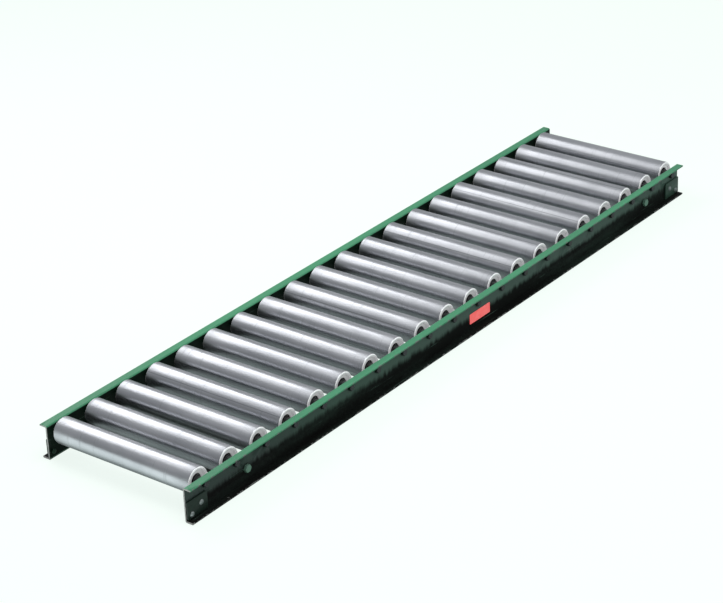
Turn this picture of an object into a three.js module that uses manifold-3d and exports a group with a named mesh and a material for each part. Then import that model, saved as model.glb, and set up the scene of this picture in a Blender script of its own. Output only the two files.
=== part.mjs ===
// Gravity roller conveyor section: two formed side channels carrying twenty
// free-turning steel rollers on hexagonal axles, tied together by two bolted
// cross-members, with a riveted plate against the web at each open rail end.
// Both rails are the same punched channel, one turned end for end, so the ends
// of the two rails are staggered.
// Units are millimetres, +Z up, +X along the direction of travel.
// Front is -Y, back is +Y, left is -X, right is +X.
// Origin: middle of the section, on the plane of the bottom flanges.
import * as THREE from 'three';
import { mergeVertices } from 'three/addons/utils/BufferGeometryUtils.js';
import Module from 'manifold-3d';

// ---- shared dimensions -------------------------------------------------------
const ROLLER_COUNT = 20;
const PITCH = 76.2;              // roller spacing, 3 in
const RAIL_LENGTH = ROLLER_COUNT * PITCH;
const STAGGER = 11.1;            // 7/16 in, rail middle off the section middle
const RAIL_HEIGHT = 63.5;        // channel depth, 2 1/2 in
const SHEET = 2.66;              // 12 gauge formed steel
const BETWEEN = 322.0;           // between the inner faces of the webs
const GAP = 0.3;                 // assembly gap between separate pieces
const OVERCUT = 1.0;             // cutting tools run past the faces they cut
const OVERLAP = 1.0;             // shanks run into what they are joined to
const ROUND_SEG = 12;            // hubs, bolts, rivets and round holes

const ROLLER_OD = 48.26;         // 1.9 in tube
const ROLLER_PROUD = 9.53;       // roller tops stand above the rail tops
const AXLE_AF = 11.11;           // 7/16 in hexagon across flats

const CROSS_X = [-622.3, 622.3]; // two cross-members, 49 in apart
const BOLT_Z = 27.0;
const BOLT_R = 4.0;              // M8

const RIVETS = [[11.5, 11.0], [35.0, 22.0]];  // [distance from the rail end, z]
const RIVET_R = 3.2;

const ROLLER_R = ROLLER_OD / 2;
const AXLE_Z = RAIL_HEIGHT + ROLLER_PROUD - ROLLER_R;
const END = RAIL_LENGTH / 2;
const WEB_IN = BETWEEN / 2;      // web faces, as distances from the XZ plane
const WEB_OUT = WEB_IN + SHEET;
const SEAT_IN = WEB_IN - GAP;    // faces of pieces that lie against the web
const SEAT_OUT = WEB_OUT + GAP;

const SIDES = [['front', -1], ['back', 1]];   // signs of y
const ENDS = [['left', -1], ['right', 1]];    // signs of x

const rollerX = (i) => -END + PITCH * (i + 0.5);

// ---- materials ---------------------------------------------------------------
const GREEN = { color: 0x5f9f7d, roughness: 0.45, metalness: 0.1 };
const STEEL = { color: 0xb9bcc4, roughness: 0.3, metalness: 0.9 };
const AXLE = { color: 0x8d9197, roughness: 0.4, metalness: 0.9 };
const ZINC = { color: 0xa9adb0, roughness: 0.4, metalness: 0.8 };
const RED = { color: 0xeb6e6e, roughness: 0.5, metalness: 0.0 };

// ---- helpers -----------------------------------------------------------------
const wasm = await Module();
wasm.setup();
const group = new THREE.Group();

function add(name, geometry, material) {
  const mesh = new THREE.Mesh(geometry, new THREE.MeshStandardMaterial(material));
  mesh.name = name;
  group.add(mesh);
}

function addSolid(name, manifold, material) {
  const { vertProperties, triVerts } = manifold.getMesh();
  const geometry = new THREE.BufferGeometry();
  geometry.setAttribute('position',
    new THREE.BufferAttribute(new Float32Array(vertProperties), 3));
  geometry.setIndex(new THREE.BufferAttribute(new Uint32Array(triVerts), 1));
  geometry.computeVertexNormals();
  add(name, geometry, material);
}

// Manifold needs shared vertices, so seams in normals and uv are dropped first.
function solid(geometry) {
  geometry.deleteAttribute('normal');
  geometry.deleteAttribute('uv');
  const merged = mergeVertices(geometry, 1e-4);
  return new wasm.Manifold(new wasm.Mesh({
    numProp: 3,
    vertProperties: new Float32Array(merged.attributes.position.array),
    triVerts: new Uint32Array(merged.index.array),
  }));
}

// In the next three helpers the two limits of a range may come in either order,
// so a piece can be mirrored by multiplying both limits by a sign.
function boxGeometry([x0, x1], [y0, y1], [z0, z1]) {
  const geometry = new THREE.BoxGeometry(
    Math.abs(x1 - x0), Math.abs(y1 - y0), Math.abs(z1 - z0));
  return geometry.translate((x0 + x1) / 2, (y0 + y1) / 2, (z0 + z1) / 2);
}

const box = (xs, ys, zs) => solid(boxGeometry(xs, ys, zs));

// regular prism along Y, turned about its own axis
function prismY(radius, sides, turn, [y0, y1], x, z) {
  const geometry = new THREE.CylinderGeometry(radius, radius, Math.abs(y1 - y0), sides);
  geometry.rotateY(turn);
  geometry.translate(x, (y0 + y1) / 2, z);
  return solid(geometry);
}

const cylinderY = (radius, ys, x, z) =>
  prismY(radius, ROUND_SEG, Math.PI / ROUND_SEG, ys, x, z);

// hexagon given across flats, flats up and down
const hexY = (acrossFlats, ys, x, z) =>
  prismY(acrossFlats / Math.sqrt(3), 6, Math.PI / 2, ys, x, z);

const mirrored = (side, a, b) => [side * a, side * b];

// closed outline of [y, z] points, extruded along X
function extrudeX(outline, x0, x1) {
  const shape = new THREE.Shape(outline.map(([y, z]) => new THREE.Vector2(y, z)));
  const geometry = new THREE.ExtrudeGeometry(shape, { depth: x1 - x0, bevelEnabled: false });
  // shape x -> Y, shape y -> Z, depth -> X
  geometry.applyMatrix4(new THREE.Matrix4().set(
    0, 0, 1, x0,
    1, 0, 0, 0,
    0, 1, 0, 0,
    0, 0, 0, 1));
  return solid(geometry);
}

// ---- side rails: channels with both flanges turned outward --------------------
const FLANGE = 16.0;             // flange width over the sheet
const BEND = 3.0;                // outside radius of the two folds
const BEND_STEPS = { inside: 1, outside: 3 };
const WEB_OVERCUT = 2.0;
const FLANGE_HOLE = {            // support-bolt hole in the bottom flange
  radius: 3.4,
  fromEnd: 95.25,
  fromWeb: 7.2,
  cutLength: 8,
};

function arc(y, z, radius, fromDegrees, toDegrees, steps) {
  const points = [];
  for (let i = 0; i <= steps; i++) {
    const angle = (fromDegrees + (toDegrees - fromDegrees) * i / steps) * Math.PI / 180;
    points.push([y + radius * Math.cos(angle), z + radius * Math.sin(angle)]);
  }
  return points;
}

// [y, z] section, laid out for the back rail and mirrored for the front one
function channelOutline(side) {
  const tip = WEB_IN + FLANGE;
  const top = RAIL_HEIGHT;
  const inside = BEND - SHEET;
  const { inside: insideSteps, outside: outsideSteps } = BEND_STEPS;
  return [
    [tip, 0],
    [tip, SHEET],
    ...arc(WEB_OUT + inside, SHEET + inside, inside, 270, 180, insideSteps),
    ...arc(WEB_OUT + inside, top - SHEET - inside, inside, 180, 90, insideSteps),
    [tip, top - SHEET],
    [tip, top],
    ...arc(WEB_IN + BEND, top - BEND, BEND, 90, 180, outsideSteps),
    ...arc(WEB_IN + BEND, BEND, BEND, 180, 270, outsideSteps),
  ].map(([y, z]) => [side * y, z]);
}

function flangeHole(side, x) {
  const { radius, fromWeb, cutLength } = FLANGE_HOLE;
  const geometry = new THREE.CylinderGeometry(radius, radius, cutLength, ROUND_SEG);
  geometry.rotateX(Math.PI / 2);
  geometry.translate(x, side * (WEB_OUT + fromWeb), SHEET / 2);
  return solid(geometry);
}

function sideRail(side) {
  const middle = side * STAGGER;
  const throughWeb = mirrored(side, WEB_IN - WEB_OVERCUT, WEB_OUT + WEB_OVERCUT);
  let rail = extrudeX(channelOutline(side), middle - END, middle + END);
  for (let i = 0; i < ROLLER_COUNT; i++) {
    rail = rail.subtract(hexY(AXLE_AF + 2 * GAP, throughWeb, rollerX(i), AXLE_Z));
  }
  for (const x of CROSS_X) {
    rail = rail.subtract(cylinderY(BOLT_R + GAP, throughWeb, x, BOLT_Z));
  }
  for (const [, end] of ENDS) {
    for (const [fromEnd, z] of RIVETS) {
      const x = middle + end * (END - fromEnd);
      rail = rail.subtract(cylinderY(RIVET_R + GAP, throughWeb, x, z));
    }
    rail = rail.subtract(flangeHole(side, middle + end * (END - FLANGE_HOLE.fromEnd)));
  }
  return rail;
}

for (const [sideName, side] of SIDES) {
  addSolid('side_rail_' + sideName, sideRail(side), GREEN);
}

// ---- rollers and their axles --------------------------------------------------
const TUBE_WALL = 1.65;          // 16 gauge
const ROLLER_LENGTH = 300.0;     // over the tube ends
const ROLLER_SEG = 24;
const CUP_DEPTH = 12.0;          // bearing cup pressed into each tube end
const HUB_R = 9.5;               // inner race and its spacer
const HUB_PAST_CUP = 1.0;        // hub reaches inward beyond the cup
const BORE_CLEAR = 0.07;         // running clearance, race to cup
const AXLE_OUT = 6.0;            // axle beyond the outer face of each web
const TUBE_END = ROLLER_LENGTH / 2;
const CUP_IN = TUBE_END - CUP_DEPTH;

// tube with a cup in each end, turned about the axle line
function roller(x) {
  // the flats of the faceted bore, not its corners, keep the clearance
  const bore = (HUB_R + BORE_CLEAR) / Math.cos(Math.PI / ROLLER_SEG);
  const tubeIn = ROLLER_R - TUBE_WALL;
  const profile = [  // [radius, y]
    [ROLLER_R, -TUBE_END], [ROLLER_R, TUBE_END],
    [bore, TUBE_END], [bore, CUP_IN],
    [tubeIn, CUP_IN], [tubeIn, -CUP_IN],
    [bore, -CUP_IN], [bore, -TUBE_END],
    [ROLLER_R, -TUBE_END],
  ].map(([radius, y]) => new THREE.Vector2(radius, y));
  return solid(new THREE.LatheGeometry(profile, ROLLER_SEG).translate(x, 0, AXLE_Z));
}

// hexagonal axle with the two inner races and spacers pressed on it
function axle(x) {
  const half = WEB_OUT + AXLE_OUT;
  let bar = hexY(AXLE_AF, [-half, half], x, AXLE_Z);
  for (const [, side] of SIDES) {
    bar = bar.add(cylinderY(HUB_R, mirrored(side, CUP_IN - HUB_PAST_CUP, SEAT_IN), x, AXLE_Z));
  }
  return bar;
}

for (let i = 0; i < ROLLER_COUNT; i++) {
  const id = String(i + 1).padStart(2, '0');
  addSolid('roller_' + id, roller(rollerX(i)), STEEL);
  addSolid('axle_' + id, axle(rollerX(i)), AXLE);
}

// ---- cross-members and their bolts --------------------------------------------
const CROSS_W = 32.0;
const CROSS_Z = [2.6, 18.6];     // bottom and top
const TAB_TOP = 36.5;
const BOLT_AF = 13.0;
const HEAD_H = 5.3;
const NUT_H = 6.5;
const BOLT_PAST_NUT = 0.4;
const TAB_IN = SEAT_IN - SHEET;
const NUT_IN = TAB_IN - GAP - NUT_H;

// channel open downward, with an upright bolting tab at each end
function crossMember(x) {
  const [bottom, top] = CROSS_Z;
  const half = CROSS_W / 2;
  const cutEnd = SEAT_IN + OVERCUT;
  let member = box([x - half, x + half], [-SEAT_IN, SEAT_IN], CROSS_Z).subtract(
    box([x - half + SHEET, x + half - SHEET], [-cutEnd, cutEnd],
      [bottom - OVERCUT, top - SHEET]));
  for (const [, side] of SIDES) {
    const throughTab = mirrored(side, TAB_IN - OVERCUT, cutEnd);
    member = member
      .add(box([x - half, x + half], mirrored(side, TAB_IN, SEAT_IN), [bottom, TAB_TOP]))
      .subtract(cylinderY(BOLT_R + GAP, throughTab, x, BOLT_Z));
  }
  return member;
}

// head outside the web, shank running inward through the nut
function crossBolt(x, side) {
  const shank = mirrored(side, NUT_IN - BOLT_PAST_NUT, SEAT_OUT + OVERLAP);
  return hexY(BOLT_AF, mirrored(side, SEAT_OUT, SEAT_OUT + HEAD_H), x, BOLT_Z)
    .add(cylinderY(BOLT_R, shank, x, BOLT_Z));
}

// nut on the inner face of the tab
function crossNut(x, side) {
  const throughNut = mirrored(side, NUT_IN - OVERCUT, NUT_IN + NUT_H + OVERCUT);
  return hexY(BOLT_AF, mirrored(side, NUT_IN, NUT_IN + NUT_H), x, BOLT_Z)
    .subtract(cylinderY(BOLT_R + GAP, throughNut, x, BOLT_Z));
}

CROSS_X.forEach((x, i) => {
  const id = i + 1;
  addSolid('cross_member_' + id, crossMember(x), GREEN);
  for (const [sideName, side] of SIDES) {
    addSolid(`cross_bolt_${id}_${sideName}`, crossBolt(x, side), ZINC);
    addSolid(`cross_nut_${id}_${sideName}`, crossNut(x, side), ZINC);
  }
});

// ---- web plates, riveted to the outer face of the web at each rail end ---------
const PLATE = {
  thickness: 3.0,
  fromEnd: [50.0, 1.0],          // both plate ends, from the rail end
  z: [SHEET + 1.2, 37],
};
const OUTER_HEAD = { radius: 5.4, height: 2.6, sunk: 0.5 };
const INNER_HEAD = { radius: 5.2, height: 1.8 };

// plate and its rivets, as one piece
function webPlate(side, end) {
  const xFromEnd = (distance) => side * STAGGER + end * (END - distance);
  const plateOut = SEAT_OUT + PLATE.thickness;
  const outerHead = mirrored(side, plateOut - OUTER_HEAD.sunk, plateOut + OUTER_HEAD.height);
  const shank = mirrored(side, SEAT_IN - OVERLAP, SEAT_OUT + OVERLAP);
  const innerHead = mirrored(side, SEAT_IN - INNER_HEAD.height, SEAT_IN);
  let plate = box(PLATE.fromEnd.map(xFromEnd), mirrored(side, SEAT_OUT, plateOut), PLATE.z);
  for (const [fromEnd, z] of RIVETS) {
    const x = xFromEnd(fromEnd);
    plate = plate
      .add(cylinderY(OUTER_HEAD.radius, outerHead, x, z))
      .add(cylinderY(RIVET_R, shank, x, z))
      .add(cylinderY(INNER_HEAD.radius, innerHead, x, z));
  }
  return plate;
}

for (const [sideName, side] of SIDES) {
  for (const [endName, end] of ENDS) {
    addSolid(`web_plate_${sideName}_${endName}`, webPlate(side, end), GREEN);
  }
}

// ---- blank identification plate on the front rail -----------------------------
const LABEL = { x: 45.0, z: 24.5, width: 64.0, height: 20.0, thickness: 0.5 };

add('label_plate', boxGeometry(
  [LABEL.x - LABEL.width / 2, LABEL.x + LABEL.width / 2],
  [-SEAT_OUT - LABEL.thickness, -SEAT_OUT],
  [LABEL.z - LABEL.height / 2, LABEL.z + LABEL.height / 2]), RED);

export default group;
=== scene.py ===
"""A straight frame of twenty rollers on hexagonal axles between two channel-section side rails.

X runs along the rails (left is -X), Y across them (front is -Y) and Z is up, with the rails
standing on Z = 0. Shapes are drawn in millimetres and finish_mesh turns them into metres.
"""
import bpy, bmesh, math, random
from mathutils import Vector, Matrix, geometry


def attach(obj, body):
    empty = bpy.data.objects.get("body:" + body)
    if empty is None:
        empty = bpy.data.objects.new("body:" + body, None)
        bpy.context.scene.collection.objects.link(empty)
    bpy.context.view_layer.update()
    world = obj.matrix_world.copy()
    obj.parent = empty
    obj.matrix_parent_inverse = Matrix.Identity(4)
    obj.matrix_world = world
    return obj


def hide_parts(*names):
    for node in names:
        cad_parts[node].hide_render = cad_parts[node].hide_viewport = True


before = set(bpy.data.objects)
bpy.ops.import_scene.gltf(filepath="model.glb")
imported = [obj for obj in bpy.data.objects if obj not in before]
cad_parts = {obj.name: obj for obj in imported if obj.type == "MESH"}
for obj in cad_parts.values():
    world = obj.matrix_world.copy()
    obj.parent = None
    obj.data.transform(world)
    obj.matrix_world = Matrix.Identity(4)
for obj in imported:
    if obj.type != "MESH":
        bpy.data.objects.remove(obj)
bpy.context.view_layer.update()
MM = 0.001

# ------------------------------------------------------------------ dimensions, mm
ROLLERS = 20
PITCH = 76.2
END = ROLLERS * PITCH / 2       # half-length of a rail
RAIL_H = 63.5
SHEET = 2.66                    # sheet thickness of rails and cross-members
WEB_IN = 161.0                  # |y| of the web face towards the rollers
WEB_OUT = WEB_IN + SHEET
FLANGE_TIP = 177.0              # |y| of the flange edges
BEND_OUT = 3.0
BEND_IN = BEND_OUT - SHEET
STAGGER = 11.1                  # back rail sits this far to +X, front rail to -X

TUBE_R = 24.13
TUBE_BORE = TUBE_R - 1.65
TUBE_HALF = 150.0
TUBE_SEGMENTS = 96
AXLE_Z = 48.9
AXLE_HALF = WEB_OUT + 6.0
AXLE_FLATS = 11.11
AXLE_HOLE_FLATS = 11.71

CROSS_X = (-622.3, 622.3)
CROSS_END = WEB_IN - 0.3        # |y| of a cross-member's ends
BOLT_Z = 27.0
BOLT_HOLE_R = 4.3
HEX_FLATS = 13.0                # across flats, bolt heads and nuts
NUT_OUTER = CROSS_END - SHEET - 0.3
NUT_INNER = NUT_OUTER - 6.5
RIVETS = ((11.5, 11.0), (35.0, 22.0))       # distance from rail end, z

SIDES = ((-1, "front"), (1, "back"))
ENDS = ((-1, "left"), (1, "right"))


def roller_x(index):
    return -END + PITCH * (index + 0.5)


# ------------------------------------------------------------------ outlines
def arc(cx, cy, radius, start, end, steps):
    """Points on an arc, angles in degrees."""
    points = []
    for i in range(steps + 1):
        angle = math.radians(start + (end - start) * i / steps)
        points.append((cx + radius * math.cos(angle), cy + radius * math.sin(angle)))
    return points


def circle(radius, count):
    angles = [2 * math.pi * k / count for k in range(count)]
    return [(radius * math.cos(a), radius * math.sin(a)) for a in angles]


def hexagon(flats, corner):
    """Hexagon in (x, z), flats up and down, each corner rounded by three points."""
    centre = flats / 2 / math.cos(math.radians(30)) - corner / math.cos(math.radians(30))
    points = []
    for k in range(6):
        towards = math.radians(60 * k)
        cx, cz = centre * math.cos(towards), centre * math.sin(towards)
        for turn in (-30, 0, 30):
            angle = towards + math.radians(turn)
            points.append((cx + corner * math.cos(angle), cz + corner * math.sin(angle)))
    return points


def shift(points, dx, dy):
    return [(u + dx, v + dy) for u, v in points]


def grow(points, amount):
    """Moves points away from the origin."""
    grown = []
    for u, v in points:
        factor = 1 + amount / math.hypot(u, v)
        grown.append((u * factor, v * factor))
    return grown


def inset_loop(points, amount):
    """Moves each point of a closed loop towards its inside."""
    count = len(points)
    area = sum(points[i][0] * points[(i + 1) % count][1] - points[(i + 1) % count][0] * points[i][1]
               for i in range(count))
    sign = 1 if area > 0 else -1
    inset = []
    for i in range(count):
        before, here, after = (Vector(points[j]) for j in (i - 1, i, (i + 1) % count))
        edge_in, edge_out = (here - before).normalized(), (after - here).normalized()
        normal_in = Vector((-edge_in.y, edge_in.x)) * sign
        mitre = normal_in + Vector((-edge_out.y, edge_out.x)) * sign
        mitre.normalize()
        # the floor keeps sharp corners from running away
        inset.append(tuple(here + mitre * (amount / max(0.35, mitre.dot(normal_in)))))
    return inset


def inside(point, polygon):
    x, y = point
    result = False
    xj, yj = polygon[-1]
    for xi, yi in polygon:
        if (yi > y) != (yj > y) and x < (xj - xi) * (y - yi) / (yj - yi) + xi:
            result = not result
        xj, yj = xi, yi
    return result


# ------------------------------------------------------------------ mesh building
def join(shape, ring, next_ring, material=0):
    """Closed band of quads between two rings of vertices."""
    count = len(ring)
    for k in range(count):
        after = (k + 1) % count
        face = shape.faces.new((ring[k], ring[after], next_ring[after], next_ring[k]))
        face.material_index = material


def new_ring(shape, points):
    return [shape.verts.new(p) for p in points]


def wall(shape, points, next_points):
    join(shape, new_ring(shape, points), new_ring(shape, next_points))


def prism(shape, outline, y0, y1):
    """Solid with an (x, z) outline between two values of y."""
    start, end = (new_ring(shape, [(u, y, v) for u, v in outline]) for y in (y0, y1))
    join(shape, start, end)
    shape.faces.new(start)
    shape.faces.new(list(reversed(end)))


def lathe(shape, profile, segments, material=0, bands=None, side=1, centre=(0, 0), phase=0.0):
    """Turns a closed profile of (radius, y) about a line along Y through centre (x, z).

    bands gives one material per profile segment; side = -1 mirrors the profile in y.
    """
    rings = []
    for radius, y in profile:
        angles = [phase + 2 * math.pi * k / segments for k in range(segments)]
        rings.append(new_ring(shape, [(centre[0] + radius * math.sin(a), side * y,
                                       centre[1] + radius * math.cos(a)) for a in angles]))
    for i, ring in enumerate(rings):
        join(shape, ring, rings[(i + 1) % len(rings)], bands[i] if bands else material)


def flat_with_holes(shape, outline, holes, to_3d):
    """Triangulated flat region of outline less the holes; to_3d places a point (u, v)."""
    points, edges = [], []
    for polygon in [outline] + holes:
        first = len(points)
        points += [Vector(p) for p in polygon]
        edges += [(first + i, first + (i + 1) % len(polygon)) for i in range(len(polygon))]
    flat, _, faces, _, _, _ = geometry.delaunay_2d_cdt(points, edges, [], 0, 1e-6)
    verts = new_ring(shape, [to_3d(v.x, v.y) for v in flat])
    for face in faces:
        middle = (sum(flat[i].x for i in face) / len(face), sum(flat[i].y for i in face) / len(face))
        if not inside(middle, outline) or any(inside(middle, hole) for hole in holes):
            continue
        a, b, c = (flat[i] for i in face[:3])
        if abs((b - a).cross(c - a)) < 1e-9:
            continue
        shape.faces.new([verts[i] for i in face])


def chamfered_hex(shape, y0, y1, bore=0.0, both_ends=False, material=0):
    """Bolt head or nut from y0 to y1, corners chamfered at y1 and, if asked, at y0 too."""
    apothem = HEX_FLATS / 2
    face_r = apothem * 0.955            # flat circle left by the chamfer
    slope = math.tan(math.radians(30))
    inner_r = bore if bore > 0 else 0.6
    way = 1 if y1 > y0 else -1

    def hex_radius(angle):              # corners on the X axis
        return apothem / math.cos((angle % (math.pi / 3)) - math.pi / 6)

    def ring(y, radius=None, drop=0):
        points = []
        for k in range(48):
            a = 2 * math.pi * k / 48
            r = radius or hex_radius(a)
            level = y + drop * (hex_radius(a) - face_r) * slope
            points.append((r * math.cos(a), level, r * math.sin(a)))
        return new_ring(shape, points)

    rings = [ring(y0, inner_r)]
    rings += [ring(y0, face_r), ring(y0, drop=way)] if both_ends else [ring(y0)]
    rings += [ring(y1, drop=-way), ring(y1, face_r), ring(y1, inner_r)]
    for ring_a, ring_b in zip(rings, rings[1:]):
        join(shape, ring_a, ring_b, material)
    if bore > 0:
        join(shape, rings[-1], rings[0], material)
    else:
        for cap in (rings[0], rings[-1]):
            shape.faces.new(cap).material_index = material


def weld(shape):
    bmesh.ops.remove_doubles(shape, verts=shape.verts, dist=1e-5)
    bmesh.ops.recalc_face_normals(shape, faces=shape.faces)


def finish_mesh(name, shape, materials, sharp):
    """Welds, scales to metres and shades smooth, with edges over sharp degrees kept hard."""
    weld(shape)
    bmesh.ops.scale(shape, vec=(MM, MM, MM), verts=shape.verts)
    mesh = bpy.data.meshes.new(name)
    shape.to_mesh(mesh)
    shape.free()
    for material in materials:
        mesh.materials.append(material)
    for polygon in mesh.polygons:
        polygon.use_smooth = True
    mesh.set_sharp_from_angle(angle=math.radians(sharp))
    return mesh


def link_object(name, data):
    obj = bpy.data.objects.new(name, data)
    bpy.context.scene.collection.objects.link(obj)
    return obj


def place(name, mesh, body, replaces, location=(0, 0, 0)):
    obj = link_object(name, mesh)
    obj.location = Vector(location) * MM
    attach(obj, body)
    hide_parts(replaces)


def cut_and_bevel(name, base, tools, bevel):
    """Exact booleans of (operation, shape) tools on base, then small edge rounds."""
    def temporary(suffix, shape):
        weld(shape)
        mesh = bpy.data.meshes.new(name + suffix)
        shape.to_mesh(mesh)
        shape.free()
        return link_object(name + suffix, mesh)

    work = temporary("_tmp", base)
    cutters = []
    for k, (operation, tool) in enumerate(tools):
        cutters.append(temporary(f"_tool{k}", tool))
        boolean = work.modifiers.new("boolean", "BOOLEAN")
        boolean.operation = operation
        boolean.object = cutters[-1]
        boolean.solver = "EXACT"
    rounding = work.modifiers.new("edges", "BEVEL")
    rounding.width = bevel
    rounding.segments = 2
    rounding.limit_method = "ANGLE"
    rounding.angle_limit = math.radians(40)
    rounding.use_clamp_overlap = True
    bpy.context.view_layer.update()
    depsgraph = bpy.context.evaluated_depsgraph_get()
    mesh = bpy.data.meshes.new_from_object(work.evaluated_get(depsgraph))
    for obj in cutters + [work]:
        bpy.data.objects.remove(obj)
    shape = bmesh.new()
    shape.from_mesh(mesh)
    bmesh.ops.dissolve_degenerate(shape, edges=shape.edges, dist=1e-4)
    for face in shape.faces:
        face.material_index = 0
    return shape


# ------------------------------------------------------------------ shader graphs
class Graph:
    """Short calls for building a shader node tree."""

    def __init__(self, owner, output):
        owner.use_nodes = True
        self.tree = owner.node_tree
        self.tree.nodes.clear()
        self.output = self.node(output)

    def put(self, socket, value):
        """Links a socket to another, or sets its value."""
        if isinstance(value, bpy.types.NodeSocket):
            self.tree.links.new(value, socket)
        else:
            socket.default_value = value

    def node(self, kind, inputs=None, **settings):
        node = self.tree.nodes.new("ShaderNode" + kind)
        for key, value in settings.items():
            setattr(node, key, value)
        for key, value in (inputs or {}).items():
            self.put(node.inputs[key], value)
        return node

    def shader(self, kind, *inputs):
        return self.node(kind, dict(enumerate(inputs))).outputs[0]

    def math(self, operation, *inputs):
        return self.node("Math", dict(enumerate(inputs)), operation=operation).outputs[0]

    def mul(self, a, b):
        return self.math("MULTIPLY", a, b)

    def scaled(self, value, gain, offset):
        return self.math("ADD", self.mul(value, gain), offset)

    def plus(self, value, extra, share):
        """value + extra * share"""
        return self.math("ADD", value, self.mul(extra, share))

    def wander(self, value, noise, amount):
        """Shifts value up and down by a noise centred on one half."""
        return self.plus(value, self.math("SUBTRACT", noise, 0.5), share=amount)

    def ramp(self, value, start, end, to=(0.0, 1.0)):
        """Smooth step of value from start to end, giving the range `to`."""
        return self.node("MapRange", {"Value": value, "From Min": start, "From Max": end,
                                      "To Min": to[0], "To Max": to[1]},
                         interpolation_type="SMOOTHSTEP").outputs[0]

    def layer(self, base, colour, mask, share=None):
        """Lays colour over base where mask (times share) is high."""
        amount = mask if share is None else self.mul(mask, share)
        return self.node("Mix", {0: amount, 6: base, 7: colour}, data_type="RGBA").outputs[2]

    def split(self, vector):
        return self.node("SeparateXYZ", {0: vector}).outputs

    def camera_ray(self):
        return self.node("LightPath").outputs["Is Camera Ray"]


class Material(Graph):
    """Principled material textured in object coordinates, which are in metres."""

    def __init__(self, name):
        self.material = bpy.data.materials.new(name)
        super().__init__(self.material, "OutputMaterial")
        self.principled = self.node("BsdfPrincipled")
        self.put(self.output.inputs[0], self.principled.outputs[0])
        self.local = self.node("TexCoord").outputs["Object"]

    def surface(self, sockets):
        for name, value in sockets.items():
            self.put(self.principled.inputs[name], value)
        return self.material

    def random(self):
        return self.node("ObjectInfo").outputs["Random"]

    def moved(self, vector, x, y, z):
        offset = self.node("CombineXYZ", {0: x, 1: y, 2: z}).outputs[0]
        return self.node("VectorMath", {0: vector, 1: offset}, operation="ADD").outputs[0]

    def noise(self, scale, detail, rough, distortion=0.0, at=None):
        """Noise with its own scale per axis, or one scale for all."""
        scales = scale if isinstance(scale, tuple) else (scale,) * 3
        vector = self.node("Mapping", {"Vector": at or self.local, "Scale": scales}).outputs[0]
        return self.node("TexNoise", {"Vector": vector, "Scale": 1.0, "Detail": detail,
                                      "Roughness": rough, "Distortion": distortion}).outputs[0]

    def bump(self, height, depth, strength, under=None):
        inputs = {"Height": height, "Distance": depth, "Strength": strength}
        if under is not None:
            inputs["Normal"] = under
        return self.node("Bump", inputs).outputs[0]


# ------------------------------------------------------------------ metal, seal and label
def roller_steel():
    """Cloudy plating with fine rings, rub marks, duller ends and a seam along the tube."""
    mat = Material("roller_steel")
    chance = mat.random()
    # each roller is turned about Y and moved in the noise by its own random amount
    turned = mat.node("VectorRotate", {"Vector": mat.local, "Angle": mat.mul(chance, 6.2832)},
                      rotation_type="Y_AXIS").outputs[0]
    x, y, z = mat.split(turned)
    at = mat.moved(turned, *[mat.mul(chance, reach) for reach in (7.3, 3.1, 5.7)])
    cloud = mat.noise(scale=(9, 5, 9), detail=5, rough=0.6, distortion=0.4, at=at)
    rings = mat.noise(scale=(12, 900, 12), detail=3, rough=0.6, at=at)
    rub = mat.noise(scale=(16, 210, 16), detail=2, rough=0.5, at=at)
    rub = mat.ramp(rub, start=0.60, end=0.72)
    streak = mat.noise(scale=(90, 3.0, 90), detail=4, rough=0.55, at=at)
    along = mat.wander(mat.math("ABSOLUTE", y), cloud, amount=0.05)
    ends = mat.ramp(along, start=0.112, end=0.150)
    base = mat.layer((0.385, 0.395, 0.42, 1), (0.475, 0.485, 0.51, 1),
                     mask=mat.ramp(cloud, start=0.35, end=0.68))
    base = mat.layer(base, colour=(0.56, 0.57, 0.59, 1),
                     mask=mat.ramp(streak, start=0.5, end=0.75), share=0.35)
    base = mat.layer(base, colour=(0.27, 0.285, 0.30, 1), mask=rub, share=0.30)
    base = mat.layer(base, colour=(0.30, 0.31, 0.325, 1), mask=ends, share=0.40)
    # seam: narrow in x, on the -Z side before turning
    seam = mat.mul(mat.ramp(mat.math("ABSOLUTE", x), start=0.0004, end=0.0011, to=(1.0, 0.0)),
                   mat.ramp(z, start=-0.010, end=-0.018))
    base = mat.layer(base, colour=(0.17, 0.18, 0.19, 1), mask=seam, share=0.6)
    rough = mat.scaled(cloud, gain=0.14, offset=0.24)
    rough = mat.plus(rough, ends, share=0.10)
    rough = mat.plus(rough, rub, share=0.10)
    polish = mat.bump(rings, depth=0.00004, strength=0.6)
    return mat.surface({
        "Base Color": base, "Metallic": 1.0, "Roughness": rough,
        "Normal": mat.bump(cloud, depth=0.0005, strength=0.25, under=polish)})


def grained_metal(name, cloud_scale, grain_scale, dark, light, metallic, rough_gain, rough_offset,
                  grain_depth, grain_strength, glow=None):
    """Two tones in clouds over a fine grain; glow adds emission in the same colour, which is painted
    light.
    """
    mat = Material(name)
    cloud = mat.noise(scale=cloud_scale, detail=5, rough=0.6)
    grain = mat.noise(scale=grain_scale, detail=2, rough=0.5)
    base = mat.layer(dark, light, mask=mat.ramp(cloud, start=0.35, end=0.7))
    if glow is not None:
        mat.surface({"Emission Color": base, "Emission Strength": glow})
    return mat.surface({
        "Base Color": base, "Metallic": metallic,
        "Roughness": mat.scaled(cloud, gain=rough_gain, offset=rough_offset),
        "Normal": mat.bump(grain, depth=grain_depth, strength=grain_strength)})


def bearing_cup():
    # glow=0.24 is painted light: the cups and the tube end faces glow though they are no lamp
    return grained_metal(
        "bearing_cup", cloud_scale=60, grain_scale=500, dark=(0.76, 0.77, 0.78, 1),
        light=(0.90, 0.90, 0.91, 1), metallic=0.25, rough_gain=0.18, rough_offset=0.20,
        grain_depth=0.00006, grain_strength=0.4, glow=0.24)


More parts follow.
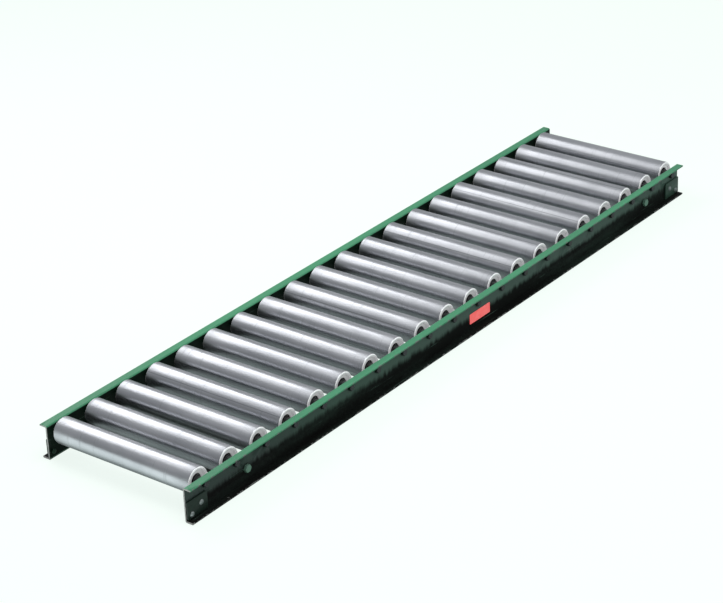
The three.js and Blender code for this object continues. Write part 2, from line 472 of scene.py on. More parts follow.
def fastener_metal(name, dark, light, metallic, rough_offset):
    return grained_metal(
        name, cloud_scale=160, grain_scale=900, dark=dark, light=light, metallic=metallic,
        rough_gain=0.28, rough_offset=rough_offset, grain_depth=0.0001, grain_strength=0.5)


def dust_seal():
    mat = Material("dust_seal")
    cloud = mat.noise(scale=140, detail=5, rough=0.65)
    return mat.surface({
        "Base Color": mat.layer((0.005, 0.0055, 0.006, 1), (0.020, 0.020, 0.019, 1),
                                mask=mat.ramp(cloud, start=0.45, end=0.75)),
        "Roughness": mat.scaled(cloud, gain=0.3, offset=0.50),
        "Specular IOR Level": 0.10,
        "Normal": mat.bump(cloud, depth=0.0002, strength=0.5)})


def axle_steel():
    """Dark steel with fine lines along the bar and brown stains, different on each axle."""
    mat = Material("axle_steel")
    chance = mat.random()
    # random moves in x and y
    at = mat.moved(mat.local, mat.mul(chance, 2.3), mat.mul(chance, 4.1), 0.0)
    drawn = mat.noise(scale=(700, 9, 700), detail=4, rough=0.6, at=at)
    stain = mat.noise(scale=(40, 18, 40), detail=5, rough=0.6, at=at)
    base = mat.layer((0.050, 0.052, 0.055, 1), (0.105, 0.108, 0.112, 1),
                     mask=mat.ramp(drawn, start=0.35, end=0.7))
    base = mat.layer(base, colour=(0.06, 0.05, 0.04, 1),
                     mask=mat.ramp(stain, start=0.52, end=0.72), share=0.6)
    return mat.surface({
        "Base Color": base, "Metallic": 1.0,
        "Roughness": mat.scaled(stain, gain=0.3, offset=0.22),
        "Normal": mat.bump(drawn, depth=0.00012, strength=0.5)})


def label_red():
    mat = Material("label_red")
    cloud = mat.noise(scale=70, detail=5, rough=0.6)
    scratches = mat.noise(scale=(25, 700, 700), detail=3, rough=0.6)
    base = mat.layer((0.90, 0.115, 0.112, 1), (0.95, 0.175, 0.165, 1),
                     mask=mat.ramp(cloud, start=0.35, end=0.7))
    base = mat.layer(base, colour=(0.80, 0.38, 0.34, 1),
                     mask=mat.ramp(scratches, start=0.62, end=0.72), share=0.4)
    # the emission is painted light: the plate glows a little though it is no lamp
    return mat.surface({
        "Base Color": base, "Emission Color": base, "Emission Strength": 0.36,
        "Roughness": mat.scaled(cloud, gain=0.2, offset=0.28),
        "Normal": mat.bump(cloud, depth=0.0001, strength=0.3)})


# ------------------------------------------------------------------ green enamel
def enamel_ground(mat):
    """Two greens in clouds, speckled; returns the cloud and fine noises and the colour."""
    cloud = mat.noise(scale=(3.0, 22, 22), detail=5, rough=0.6)
    fine = mat.noise(scale=260, detail=3, rough=0.6)
    base = mat.layer((0.044, 0.222, 0.110, 1), (0.056, 0.278, 0.137, 1),
                     mask=mat.ramp(cloud, start=0.35, end=0.68))
    base = mat.layer(base, colour=(0.055, 0.165, 0.110, 1),
                     mask=mat.ramp(fine, start=0.42, end=0.7), share=0.25)
    return cloud, fine, base


def paint_chips(mat):
    return mat.noise(scale=(120, 160, 160), detail=6, rough=0.7)


def worn_enamel(mat, base, cloud, wear, specular=0.25, cut=None, low_shade=None):
    """Adds scuffs and worn spots, then the optional bare cut mask and extra roughness under the
    painted low shade.
    """
    peel = mat.noise(scale=900, detail=1, rough=0.4)
    scratches = mat.noise(scale=(7, 420, 420), detail=3, rough=0.6)
    scuff = mat.mul(mat.ramp(scratches, start=0.66, end=0.74), 0.35)    # at most 35 % cover
    base = mat.layer(base, colour=(0.20, 0.36, 0.28, 1), mask=scuff)
    base = mat.layer(base, colour=(0.20, 0.20, 0.195, 1), mask=wear)
    if cut is not None:
        base = mat.layer(base, colour=(0.36, 0.35, 0.34, 1), mask=cut)
    rough = mat.scaled(cloud, gain=0.14, offset=0.30)
    rough = mat.plus(rough, scuff, share=0.3)
    if low_shade is not None:
        rough = mat.plus(rough, low_shade, share=0.30)
    peel_bump = mat.bump(peel, depth=0.00006, strength=0.5)
    sunk = mat.mul(wear, -1.0)          # worn spots lie below the paint
    return mat.surface({
        "Base Color": base, "Roughness": rough, "Specular IOR Level": specular,
        "Metallic": mat.mul(wear, 0.85),        # worn spots are nearly bare metal
        "Normal": mat.bump(sunk, depth=0.00012, strength=0.8, under=peel_bump)})


def rail_enamel():
    """Enamel worn at edges and folds, with painted shade over the outside that is darkest low down,
    and near black painted shade on the inside.
    """
    mat = Material("rail_enamel")
    x, y, z = mat.split(mat.local)
    across = mat.math("ABSOLUTE", y)
    cloud, fine, base = enamel_ground(mat)

    # edges that wear: flange tips, the folds at top and bottom, and the rail ends
    tip = mat.ramp(across, start=(FLANGE_TIP - 1.1) * MM, end=(FLANGE_TIP - 0.1) * MM)
    from_middle = mat.math("ABSOLUTE", mat.math("SUBTRACT", z, 0.5 * RAIL_H * MM))
    fold = mat.mul(
        mat.ramp(across, start=(WEB_IN + 2.6) * MM, end=(WEB_IN + 0.4) * MM),
        mat.ramp(from_middle, start=(0.5 * RAIL_H - 3.0) * MM, end=(0.5 * RAIL_H - 0.6) * MM))
    ends = mat.ramp(mat.math("ABSOLUTE", x), start=(END - 2.5) * MM, end=(END - 0.3) * MM)
    fold = mat.mul(fold, 0.75)          # folds wear less than cut edges
    edge = mat.math("MAXIMUM", mat.math("MAXIMUM", tip, fold), ends)

    # painted shade, near black, on the outside of the lower web and the bottom flange, with a ragged
    # upper limit
    shade_edge_noise = mat.noise(scale=(110, 14, 14), detail=5, rough=0.65)
    height = mat.wander(z, cloud, amount=0.016)
    height = mat.wander(height, shade_edge_noise, amount=0.020)
    low = mat.ramp(height, start=37.5 * MM, end=24.5 * MM)
    outside = mat.mul(
        mat.ramp(across, start=(WEB_OUT - 1.0) * MM, end=(WEB_OUT - 0.2) * MM),
        mat.ramp(z, start=(RAIL_H - 2.0) * MM, end=(RAIL_H - 3.4) * MM))
    patches = mat.ramp(mat.wander(cloud, fine, amount=0.4), start=0.25, end=0.60, to=(0.80, 1.0))
    low_shade = mat.mul(mat.mul(low, outside), patches)

    # painted shade over the whole outside, heavier and darker towards the left end
    outer_shade = mat.math("ADD", mat.ramp(cloud, start=0.2, end=0.7, to=(0.76, 0.88)),
                    mat.ramp(x, start=-0.30, end=-0.65, to=(0.0, 0.09)))
    outer_shade_colour = mat.layer((0.025, 0.029, 0.031, 1), (0.049, 0.064, 0.062, 1),
                            mask=mat.ramp(x, start=-0.60, end=-0.05))
    base = mat.layer(base, outer_shade_colour, mask=mat.mul(outside, outer_shade))
    base = mat.layer(base, colour=(0.0042, 0.0036, 0.0035, 1), mask=low_shade, share=0.96)
    # painted shade: the inner face of the web is laid near black
    inner = mat.ramp(across, start=(WEB_IN + 0.25) * MM, end=(WEB_IN + 0.05) * MM)
    base = mat.layer(base, colour=(0.0022, 0.0026, 0.0024, 1), mask=inner, share=0.965)

    # the sheared ends are bare steel
    cut = mat.ramp(mat.math("ABSOLUTE", x), start=(END - 0.55) * MM, end=(END - 0.25) * MM)
    cut = mat.mul(cut, mat.ramp(fine, start=0.25, end=0.6, to=(0.75, 0.95)))
    chips = mat.plus(paint_chips(mat), edge, share=0.10)
    wear = mat.mul(edge, mat.ramp(chips, start=0.60, end=0.68))
    # specular falls from its clean value by up to these shares in the painted low shade and on the
    # inner face under its painted shade
    clean, low_shade_loss, inner_loss = 0.24, 0.20, 0.17
    loss = mat.math("MAXIMUM", mat.mul(low_shade, low_shade_loss), mat.mul(inner, inner_loss))
    return worn_enamel(mat, base, cloud, wear, cut=cut, low_shade=low_shade,
                       specular=mat.math("SUBTRACT", clean, loss))


def chipped_enamel(mat, base, cloud):
    """Enamel with scattered chips, for the small parts."""
    return worn_enamel(mat, base, cloud, wear=mat.ramp(paint_chips(mat), start=0.74, end=0.80))


def bracket_enamel():
    """Enamel under painted shade that is darker and slightly heavier towards -X."""
    mat = Material("bracket_enamel")
    x = mat.split(mat.local)[0]
    cloud, fine, base = enamel_ground(mat)
    bracket_shade = mat.ramp(mat.plus(cloud, fine, share=0.35), start=0.45, end=0.78, to=(0.98, 0.93))
    bracket_shade = mat.mul(bracket_shade, mat.ramp(x, start=-0.30, end=0.30, to=(1.0, 0.90)))
    colour = mat.layer((0.0085, 0.0100, 0.0100, 1), (0.026, 0.034, 0.033, 1),
                       mask=mat.ramp(x, start=-0.30, end=0.30))
    return chipped_enamel(mat, mat.layer(base, colour, mask=bracket_shade), cloud)


def enamel_under_dust_and_shade(name, colour, cover):
    """Enamel under an even layer of colour; cover is its range of opacity. The layer is painted
    shade on the inner rivet tails and dust on the bolt heads.
    """
    mat = Material(name)
    cloud, _, base = enamel_ground(mat)
    base = mat.layer(base, colour, mask=mat.ramp(cloud, start=0.3, end=0.7, to=cover))
    return chipped_enamel(mat, base, cloud)


ROLLER_STEEL = roller_steel()
BEARING_CUP = bearing_cup()
DUST_SEAL = dust_seal()
AXLE_STEEL = axle_steel()
ZINC = fastener_metal("zinc_fastener", dark=(0.52, 0.53, 0.50, 1), light=(0.72, 0.73, 0.72, 1),
                      metallic=1.0, rough_offset=0.20)
RAIL_PAINT = rail_enamel()
BRACKET_PAINT = bracket_enamel()
# near black painted shade for the rivet tails on the inner face of the web
INNER_PAINT = enamel_under_dust_and_shade("inner_enamel", colour=(0.008, 0.012, 0.010, 1), cover=(0.92, 0.84))
RIVET_STEEL = fastener_metal("rivet_steel", dark=(0.16, 0.19, 0.185, 1),
                             light=(0.30, 0.33, 0.325, 1), metallic=0.85, rough_offset=0.30)
BOLT_PAINT = enamel_under_dust_and_shade("bolt_enamel", colour=(0.19, 0.23, 0.22, 1), cover=(0.45, 0.65))
LABEL_RED = label_red()

# ------------------------------------------------------------------ side rails
EDGE_ROUND = 0.5                # flange edges
END_CHAMFER = 0.4
HOLE_CHAMFER = 0.35
FLAT_MARGIN = 0.45              # strip kept free at each border of a flat
RAIL_STEPS = 40                 # divisions along the rail


def rail_section():
    """Channel section as runs of (y, z) points, with the kind of flat or None."""
    rnd, tip, top = EDGE_ROUND, FLANGE_TIP, RAIL_H
    runs = [
        ([(tip - rnd, 0.0), (WEB_IN + BEND_OUT, 0.0)], "bottom"),
        (arc(WEB_IN + BEND_OUT, BEND_OUT, BEND_OUT, 270, 180, 8), None),
        ([(WEB_IN, BEND_OUT), (WEB_IN, top - BEND_OUT)], "web"),
        (arc(WEB_IN + BEND_OUT, top - BEND_OUT, BEND_OUT, 180, 90, 8), None),
        ([(WEB_IN + BEND_OUT, top), (tip - rnd, top)], "top"),
        (arc(tip - rnd, top - rnd, rnd, 90, 0, 3), None),
        ([(tip, top - rnd), (tip, top - SHEET + rnd)], None),
        (arc(tip - rnd, top - SHEET + rnd, rnd, 0, -90, 3), None),
        ([(tip - rnd, top - SHEET), (WEB_OUT + BEND_IN, top - SHEET)], None),
        (arc(WEB_OUT + BEND_IN, top - SHEET - BEND_IN, BEND_IN, 90, 180, 3), None),
        ([(WEB_OUT, top - SHEET - BEND_IN), (WEB_OUT, SHEET + BEND_IN)], "web"),
        (arc(WEB_OUT + BEND_IN, SHEET + BEND_IN, BEND_IN, 180, 270, 3), None),
        ([(WEB_OUT + BEND_IN, SHEET), (tip - rnd, SHEET)], "bottom"),
        (arc(tip - rnd, SHEET - rnd, rnd, 90, 0, 3), None),
        ([(tip, SHEET - rnd), (tip, rnd)], None),
        (arc(tip - rnd, rnd, rnd, 0, -90, 3), None),
    ]
    split = []
    for points, kind in runs:
        if kind is None:
            split.append((points, None))
            continue
        a, b = Vector(points[0]), Vector(points[-1])
        step = (b - a).normalized() * FLAT_MARGIN
        split += [([tuple(a), tuple(a + step)], None),
                  ([tuple(a + step), tuple(b - step)], kind),
                  ([tuple(b - step), tuple(b)], None)]
    return split


def rail_holes(side):
    """Holes as (x, z or y, outline) for each kind of flat."""
    web = [(roller_x(i) - side * STAGGER, AXLE_Z, hexagon(AXLE_HOLE_FLATS, 0.7))
           for i in range(ROLLERS)]
    web += [(x - side * STAGGER, BOLT_Z, circle(BOLT_HOLE_R, 24)) for x in CROSS_X]
    web += [(end * (END - from_end), z, circle(3.5, 20))
            for end, _ in ENDS for from_end, z in RIVETS]
    bottom = [(end * (END - 95.25), WEB_OUT + 7.2, circle(3.4, 20)) for end, _ in ENDS]
    return {"web": web, "bottom": bottom}


def on_flat(kind, level):
    """Maps (u, v) to a web at y = level or a bottom flange face at z = level."""
    if kind == "web":
        return lambda u, v: (u, level, v)
    return lambda u, v: (u, v, level)


def rail_strips(shape, points, stations):
    """Quads along the rail between neighbouring points of a run."""
    for a, b in zip(points, points[1:]):
        if math.dist(a, b) < 1e-7:
            continue
        row_a, row_b = (new_ring(shape, [(x, *p) for x in stations]) for p in (a, b))
        for k in range(RAIL_STEPS):
            shape.faces.new((row_a[k], row_a[k + 1], row_b[k + 1], row_b[k]))


def rail_flat(shape, points, kind, holes, stations):
    across = 1 if kind == "web" else 0      # section coordinate that varies over the flat
    low, high = sorted((points[0][across], points[1][across]))
    outline = [(x, low) for x in stations] + [(x, high) for x in reversed(stations)]
    flat_with_holes(shape, outline, [shift(grow(hole, HOLE_CHAMFER), u, v) for u, v, hole in holes],
                    on_flat(kind, points[0][1 - across]))


def rail_hole_wall(shape, kind, u, v, hole):
    """Bore through the sheet with a chamfer at both faces."""
    wide = grow(hole, HOLE_CHAMFER)
    near, far = (WEB_OUT, WEB_IN) if kind == "web" else (SHEET, 0.0)
    levels = [(near, wide), (near - HOLE_CHAMFER, hole), (far + HOLE_CHAMFER, hole), (far, wide)]
    rings = [[on_flat(kind, level)(*p) for p in shift(points, u, v)] for level, points in levels]
    for ring, next_ring in zip(rings, rings[1:]):
        wall(shape, ring, next_ring)


def rail_ends(shape, runs):
    loop = []
    for points, _ in runs:
        for p in points:
            if not loop or math.dist(loop[-1], p) > 1e-6:
                loop.append(p)
    if math.dist(loop[0], loop[-1]) < 1e-6:
        loop.pop()
    small = inset_loop(loop, END_CHAMFER * 0.8)
    for end, _ in ENDS:
        cap = [(end * END, y, z) for y, z in small]
        wall(shape, [(end * (END - END_CHAMFER), y, z) for y, z in loop], cap)
        shape.faces.new(new_ring(shape, cap))


def rail_mesh(side, name):
    """Drawn about the rail's own middle on +Y, mirrored for the front."""
    shape = bmesh.new()
    stations = [-END + END_CHAMFER + (2 * END - 2 * END_CHAMFER) * k / RAIL_STEPS
                for k in range(RAIL_STEPS + 1)]
    runs = rail_section()
    holes = rail_holes(side)
    for points, kind in runs:
        if kind in holes:
            rail_flat(shape, points, kind, holes[kind], stations)
        else:
            rail_strips(shape, points, stations)
    for kind, entries in holes.items():
        for u, v, hole in entries:
            rail_hole_wall(shape, kind, u, v, hole)
    rail_ends(shape, runs)
    if side < 0:
        for vert in shape.verts:
            vert.co.y = -vert.co.y
    return finish_mesh(name, shape, [RAIL_PAINT], sharp=28)


for side, side_name in SIDES:
    name = f"side_rail_{side_name}"
    place(name + "_skin", rail_mesh(side, name + "_skin"), "frame", name,
          (side * STAGGER, 0, 0))

# ------------------------------------------------------------------ rollers and axles
# (radius, depth in from the tube end)
CUP_PROFILE = (
    (TUBE_BORE - 0.05, 11.8), (TUBE_BORE - 0.05, 2.9), (TUBE_BORE - 1.3, 1.7), (20.3, 1.3),
    (19.2, 1.35), (18.4, 1.7), (18.0, 2.2), (17.8, 2.8), (17.2, 3.2), (14.6, 3.5), (13.4, 3.4),
    (12.4, 3.6), (11.9, 4.2), (11.7, 5.2), (11.7, 11.4), (12.1, 11.8))
SEAL_PROFILE = ((11.65, 5.0), (11.3, 4.7), (10.4, 4.7), (9.9, 5.1), (9.9, 6.4), (11.65, 6.4))
# rings on the axle: (radius, depth in from the tube end), then (radius, gap to the web)
RACE_PROFILE = ((6.5, 11.6), (9.2, 11.6), (9.5, 11.3), (9.5, 1.6), (9.2, 1.2), (8.1, 1.2))
SPACER_PROFILE = ((8.1, 2.4), (9.1, 2.2), (9.3, 1.9), (9.3, 0.6), (9.1, 0.35), (6.5, 0.35))
# axle end: (distance from the end, scale of the section)
AXLE_TAPER = ((0.0, 0.86), (0.25, 0.90), (1.0, 1.0))


def measured_from(y, profile):
    return [(radius, y - depth) for radius, depth in profile]


def tube_mesh(name, phase):
    """Tube with rounded ends; the end faces take the bearing cup material and its painted glow."""
    shape = bmesh.new()
    lip = 2.8                       # radius of the rounded end
    end = [(TUBE_R, TUBE_HALF - 9.0), (TUBE_R, TUBE_HALF - lip - 0.4)]
    for degrees in (8, 20, 32, 44, 56, 68, 80, 90):
        angle = math.radians(degrees)
        end.append((TUBE_R - lip + lip * math.cos(angle), TUBE_HALF - lip + lip * math.sin(angle)))
    end += measured_from(TUBE_HALF, (
        (TUBE_R - lip - 0.5, 0.02), (TUBE_R - lip - 0.8, 0.3),
        (TUBE_BORE - 1.15, 1.4), (TUBE_BORE, 2.6), (TUBE_BORE, 12.0)))
    middle = [(TUBE_R, -TUBE_HALF + 8.0 + k * (2 * TUBE_HALF - 16.0) / 12) for k in range(1, 12)]
    profile = [(r, -y) for r, y in reversed(end)] + middle + end
    # segments lying on average within 1.3 mm of the tube end
    bands = [1 if abs(a[1]) + abs(b[1]) > 2 * TUBE_HALF - 2.6 else 0
             for a, b in zip(profile, profile[1:] + profile[:1])]
    lathe(shape, profile, TUBE_SEGMENTS, bands=bands, phase=phase)
    return finish_mesh(name, shape, [ROLLER_STEEL, BEARING_CUP], sharp=40)


def bearing_mesh():
    shape = bmesh.new()
    for side, _ in SIDES:
        lathe(shape, measured_from(TUBE_HALF, CUP_PROFILE), 72, side=side)
        lathe(shape, measured_from(TUBE_HALF, SEAL_PROFILE), 72, material=1, side=side)
    return finish_mesh("bearing_pair", shape, [BEARING_CUP, DUST_SEAL], sharp=35)


def axle_mesh():
    shape = bmesh.new()
    section = hexagon(AXLE_FLATS, 0.45)
    stations = [(-AXLE_HALF + inset, scale) for inset, scale in AXLE_TAPER]
    stations += [(AXLE_HALF - inset, scale) for inset, scale in reversed(AXLE_TAPER)]
    rings = [new_ring(shape, [(u * scale, y, v * scale) for u, v in section])
             for y, scale in stations]
    for ring, next_ring in zip(rings, rings[1:]):
        join(shape, ring, next_ring)
    shape.faces.new(rings[0])
    shape.faces.new(rings[-1])
    profile = measured_from(TUBE_HALF, RACE_PROFILE) + measured_from(WEB_IN, SPACER_PROFILE)
    for side, _ in SIDES:
        lathe(shape, profile, 48, side=side)
    return finish_mesh("axle", shape, [AXLE_STEEL], sharp=32)


rng = random.Random(7)
BEARING_MESH = bearing_mesh()
AXLE_MESH = axle_mesh()
for i in range(ROLLERS):
    tag = f"{i + 1:02d}"
    centre = (roller_x(i), 0, AXLE_Z)
    roller, roller_body, tube = "roller_" + tag, f"roller_{tag}_body", "roller_tube_" + tag
    # each tube's facets start at a random angle
    tube_skin = tube_mesh(tube, rng.uniform(0, 2 * math.pi / TUBE_SEGMENTS))
    place(tube, tube_skin, roller_body, roller, centre)
    place("roller_bearings_" + tag, BEARING_MESH, roller_body, roller, centre)
    place("axle_bar_" + tag, AXLE_MESH, "frame", "axle_" + tag, centre)


# ------------------------------------------------------------------ cross-members
def cross_mesh(x, name):
    """Inverted channel across the frame with a drilled upright tab at each end."""
    half, bottom, top = 16.0, 2.6, 18.6
    bend, inner_bend = BEND_OUT, BEND_OUT - SHEET
    tab_r, tab_centre_z = 5, 31.5       # rounded upper corners of the tabs
    section = [(-half, bottom)]
    section += arc(-half + bend, top - bend, bend, 180, 90, 6)
    section += arc(half - bend, top - bend, bend, 90, 0, 6)
    section += [(half, bottom), (half - SHEET, bottom)]
    section += arc(half - bend, top - bend, inner_bend, 0, 90, 3)
    section += arc(-half + bend, top - bend, inner_bend, 90, 180, 3)
    section += [(-half + SHEET, bottom)]
    base = bmesh.new()
    prism(base, shift(section, x, 0), -CROSS_END, CROSS_END)

    tab = [(-half, bottom), (half, bottom)]
    tab += arc(half - tab_r, tab_centre_z, tab_r, 0, 90, 6)
    tab += arc(-half + tab_r, tab_centre_z, tab_r, 90, 180, 6)
    drill = circle(BOLT_HOLE_R, 28)
    tools = []
    for operation, outline, z, over in (("UNION", tab, 0, 0), ("DIFFERENCE", drill, BOLT_Z, 1.5)):
        for side, _ in SIDES:
            tool = bmesh.new()
            prism(tool, shift(outline, x, z),
                  side * (CROSS_END - SHEET - over), side * (CROSS_END + over))
            tools.append((operation, tool))
    shape = cut_and_bevel(name, base, tools, bevel=0.3)
    return finish_mesh(name, shape, [BRACKET_PAINT], sharp=32)


def bolt_mesh(side, name):
    """Washer face and hexagon head outside the web, threaded shank inwards."""
    shape = bmesh.new()
    seat = WEB_OUT + 0.05
    head = seat + 0.45
    washer = [(0.4, seat), (6.1, seat), (6.1, head), (0.4, head)]
    lathe(shape, washer, 40, material=1, side=side)
    chamfered_hex(shape, side * head, side * (seat + 5.5), material=1)
    core_r, root_r, thread_r, thread_pitch = 0.4, 3.45, 3.9, 1.2
    tail = NUT_INNER - 0.4
    profile = [(core_r, tail), (3.2, tail)]
    y = tail + 0.5
    while y < WEB_IN - 0.5:
        profile += [(thread_r, y), (root_r, y + thread_pitch / 2)]
        y += thread_pitch
    profile += [(thread_r, WEB_IN - 0.2), (thread_r, seat + 0.2), (core_r, seat + 0.2)]
    lathe(shape, profile, 28, side=side)
    return finish_mesh(name, shape, [ZINC, BOLT_PAINT], sharp=30)


def nut_mesh(side, name):
    shape = bmesh.new()
    chamfered_hex(shape, side * NUT_OUTER, side * NUT_INNER, bore=4.05, both_ends=True)
    return finish_mesh(name, shape, [ZINC], sharp=30)


for k, x in enumerate(CROSS_X, 1):
    name = f"cross_member_{k}"
    place(name + "_skin", cross_mesh(x, name + "_skin"), "frame", name)
    for side, side_name in SIDES:
        for part, build in (("bolt", bolt_mesh), ("nut", nut_mesh)):
            name = f"hex_{part}_{k}_{side_name}"
            place(name, build(side, name), "frame", f"cross_{part}_{k}_{side_name}",
                  (x, 0, BOLT_Z))


# ------------------------------------------------------------------ web plates
# rivet: (radius, height over the plate), then (radius, distance from the web's inner face)
RIVET_HEAD = ((0.3, 2.75), (1.6, 2.6), (3.0, 2.1), (4.2, 1.3), (5.0, 0.5), (5.2, -0.2), (3.2, -0.2))
RIVET_TAIL = ((3.2, 0.2), (4.8, 0.2), (4.6, 0.9), (3.4, 1.5), (0.3, 1.7))


def plate_mesh(side, end, name):
    """Riveted flat plate outside the web at a rail end, drawn about the rail's middle."""
    inner = WEB_OUT + 0.15
    outer = inner + 3.0
    bottom, top = SHEET + 1.2, 37.0
    x0, x1 = END - 50.0, END - 1.0
    corner, nick = 4.0, 0.8             # round top corner; small bevels at the rail end
    outline = [(x0, bottom), (x1 - nick, bottom), (x1, bottom + nick),
               (x1, top - nick), (x1 - nick, top)]
    outline += arc(x0 + corner, top - corner, corner, 90, 180, 6)
    base = bmesh.new()
    prism(base, [(end * u, v) for u, v in outline], side * inner, side * outer)
    shape = cut_and_bevel(name, base, [], bevel=0.45)
    rivet = [(radius, outer + height) for radius, height in RIVET_HEAD]
    rivet += measured_from(WEB_IN, RIVET_TAIL)
    for from_end, z in RIVETS:
        lathe(shape, rivet, 36, bands=[1] * 6 + [2] * 6, side=side,
              centre=(end * (END - from_end), z))
    return finish_mesh(name, shape, [BRACKET_PAINT, RIVET_STEEL, INNER_PAINT], sharp=32)


for side, side_name in SIDES:
    for end, end_name in ENDS:
        name = f"web_plate_{side_name}_{end_name}"
        place(name + "_skin", plate_mesh(side, end, name + "_skin"), "frame", name,
              (side * STAGGER, 0, 0))

# ------------------------------------------------------------------ blank plate
LABEL_HALF = (32.0, 10.0)
LABEL_CORNER = 2.0
# (inset from the outline, height over the back face)
LABEL_RINGS = ((0.0, 0.0), (0.0, 0.35), (0.2, 0.5), (1.3, 0.5), (1.7, 0.25), (2.2, 0.25))


def label_ring(inset, height):
    """Rounded rectangle facing -Y."""
    radius = max(0.5, LABEL_CORNER - inset)
    u, v = (half - inset - radius for half in LABEL_HALF)
    points = []
    for k, (cx, cz) in enumerate(((u, v), (-u, v), (-u, -v), (u, -v))):
        points += arc(cx, cz, radius, 90 * k, 90 * (k + 1), 5)
    y = -(WEB_OUT + 0.05) - height
    return [(px, y, pz) for px, pz in points]


def label_mesh():
    """Small plate with a raised rim."""
    shape = bmesh.new()
    rings = [label_ring(inset, height) for inset, height in LABEL_RINGS]
    for ring, next_ring in zip(rings, rings[1:]):
        wall(shape, ring, next_ring)
    shape.faces.new(new_ring(shape, rings[0]))
    shape.faces.new(new_ring(shape, rings[-1]))
    return finish_mesh("blank_plate", shape, [LABEL_RED], sharp=25)


place("blank_plate", label_mesh(), "frame", "label_plate", (45.0, 0, 24.5))

# ------------------------------------------------------------------ floor, metres
FLOOR_HALF = 30.0
FLOOR_Z = -0.0006
# painted shadow: the floor is darker along a line under each rail
CONTACT_Y = (WEB_IN + FLANGE_TIP) / 2 * MM      # middle of the dark line under each rail
CONTACT_HALF_WIDTH = 0.0075
CONTACT_HALF_LENGTH = 0.7615


def floor_seen(graph):
    """What the camera sees: a pale floor with a painted shadow line under each rail."""
    position = graph.node("NewGeometry").outputs["Position"]
    x, y, _ = graph.split(position)
    off_line = graph.math("SUBTRACT", graph.math("ABSOLUTE", y, 0.0), CONTACT_Y)
    off_line = graph.math("ABSOLUTE", off_line, 0.0)
    rail_middle = graph.mul(graph.math("SIGN", y, 0.0), STAGGER * MM)
    along = graph.math("ABSOLUTE", graph.math("SUBTRACT", x, rail_middle), 0.0)
    contact_shadow = graph.mul(graph.math("LESS_THAN", off_line, CONTACT_HALF_WIDTH),
                        graph.math("LESS_THAN", along, CONTACT_HALF_LENGTH))
    # far away the floor meets the backdrop in tone
    distance = graph.node("VectorMath", {0: position}, operation="LENGTH").outputs["Value"]
    glow = graph.ramp(distance, start=2.5, end=9.0, to=(0.88, 0.95))
    contact_shadow_loss = 0.86
    glow = graph.math("SUBTRACT", glow, graph.mul(contact_shadow, contact_shadow_loss))
    emitted = graph.shader("Emission", (0.915, 1.0, 0.952, 1), glow)
    return graph.shader("AddShader", emitted,
                        graph.shader("BsdfDiffuse", (0.15, 0.155, 0.153, 1)))


def floor_bounce(graph):
    """What other rays meet: the floor darkened as painted shade, with a painted glow beyond the left
    end of the frame that brightens reflections in the rollers.
    """
    x = graph.split(graph.node("NewGeometry").outputs["Position"])[0]
    colour = graph.layer((0.32, 0.39, 0.36, 1), (0.62, 0.66, 0.65, 1),
                         mask=graph.ramp(x, start=-0.72, end=-0.86))
    # painted light: emission on the floor beyond the left end, seen only in reflections
    glow = graph.ramp(x, start=-0.735, end=-0.80, to=(0.17, 0.85))
    return graph.shader("AddShader", graph.shader("BsdfDiffuse", colour),
                        graph.shader("Emission", (0.90, 1.0, 0.98, 1), glow))


def stage_floor():
    shape = bmesh.new()
    corners = ((-1, -1), (1, -1), (1, 1), (-1, 1))
    shape.faces.new(new_ring(shape, [(u * FLOOR_HALF, v * FLOOR_HALF, FLOOR_Z)
                                     for u, v in corners]))
    mesh = bpy.data.meshes.new("floor")
    shape.to_mesh(mesh)
    shape.free()
    material = bpy.data.materials.new("floor_pale")
    graph = Graph(material, "OutputMaterial")
    graph.put(graph.output.inputs[0], graph.shader(
        "MixShader", graph.camera_ray(), floor_bounce(graph), floor_seen(graph)))
    mesh.materials.append(material)
    link_object("floor", mesh)


stage_floor()


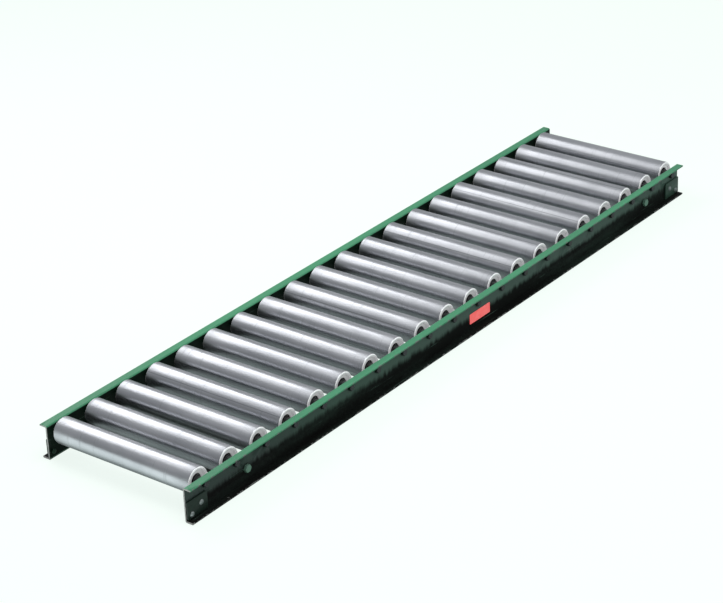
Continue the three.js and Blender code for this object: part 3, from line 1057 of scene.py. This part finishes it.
# ------------------------------------------------------------------ world and lights
def studio_world():
    """Grey room, brightest towards +X, +Y and up; the camera itself sees a pale backdrop."""
    world = bpy.data.worlds.new("studio")
    bpy.context.scene.world = world
    graph = Graph(world, "OutputWorld")
    bright_side = Vector((0.80, 0.35, 0.48)).normalized()
    facing = graph.node("VectorMath", {0: graph.node("TexCoord").outputs["Generated"],
                                       1: bright_side}, operation="DOT_PRODUCT").outputs["Value"]
    # a broad rise over the room and a small extra near the bright side
    strength = graph.math("ADD", graph.ramp(facing, start=-0.60, end=0.10, to=(0.24, 0.52)),
                          graph.ramp(facing, start=0.28, end=0.66, to=(0.0, 0.06)))
    room = graph.shader("Background", (0.94, 0.97, 1.0, 1), strength)
    backdrop = graph.shader("Background", (0.93, 1.0, 0.96, 1), 1.0)
    graph.put(graph.output.inputs[0],
              graph.shader("MixShader", graph.camera_ray(), room, backdrop))


def area_light(name, location, target, size, power, size_y=None):
    """Square light, or a rectangle if size_y is given; metres and watts."""
    light = bpy.data.lights.new(name, "AREA")
    light.energy = power
    light.size = size
    if size_y:
        light.shape = "RECTANGLE"
        light.size_y = size_y
    obj = link_object(name, light)
    obj.location = location
    direction = (Vector(target) - Vector(location)).normalized()
    obj.rotation_euler = direction.to_track_quat("-Z", "Y").to_euler()


studio_world()
area_light("key", location=(-0.06, 1.64, 1.63), target=(-0.55, 0, 0.05),
           size=2.0, size_y=0.84, power=20)
area_light("top", location=(-0.3, -0.35, 2.3), target=(-0.1, 0, 0), size=1.2, power=21)
area_light("fill", location=(-2.6, -2.4, 1.2), target=(0, 0, 0), size=1.6, power=7)
area_light("fill_right", location=(2.3, -2.3, 1.3), target=(0, 0, 0), size=1.6, power=8)
area_light("front_strip", location=(0.25, -1.75, 1.75), target=(0.1, 0, 0.05),
           size=2.2, size_y=0.7, power=8)

# ------------------------------------------------------------------ camera
CAMERA_PLACE = (-3.0791, -2.3825, 1.9759)       # metres
# radians: heading from +X towards +Y, tilt below the horizon, roll about the view line
HEADING, TILT, ROLL = 0.67386, 0.46431, -0.046247


def add_camera():
    forward = Vector((math.cos(TILT) * math.cos(HEADING), math.cos(TILT) * math.sin(HEADING),
                      -math.sin(TILT)))
    level = Vector((math.sin(HEADING), -math.cos(HEADING), 0))
    upright = level.cross(forward)
    right = math.cos(ROLL) * level + math.sin(ROLL) * upright
    up = -math.sin(ROLL) * level + math.cos(ROLL) * upright
    camera = bpy.data.cameras.new("camera")
    camera.sensor_width = 36.0
    camera.sensor_fit = "HORIZONTAL"
    camera.lens = 116.5613278
    camera.clip_start = 0.05
    camera.clip_end = 100.0
    obj = link_object("camera", camera)
    pose = Matrix((right, up, -forward)).transposed().to_4x4()
    pose.translation = CAMERA_PLACE
    obj.matrix_world = pose
    bpy.context.scene.camera = obj


add_camera()
bpy.context.scene.view_settings.view_transform = "Standard"

bpy.context.view_layer.update()
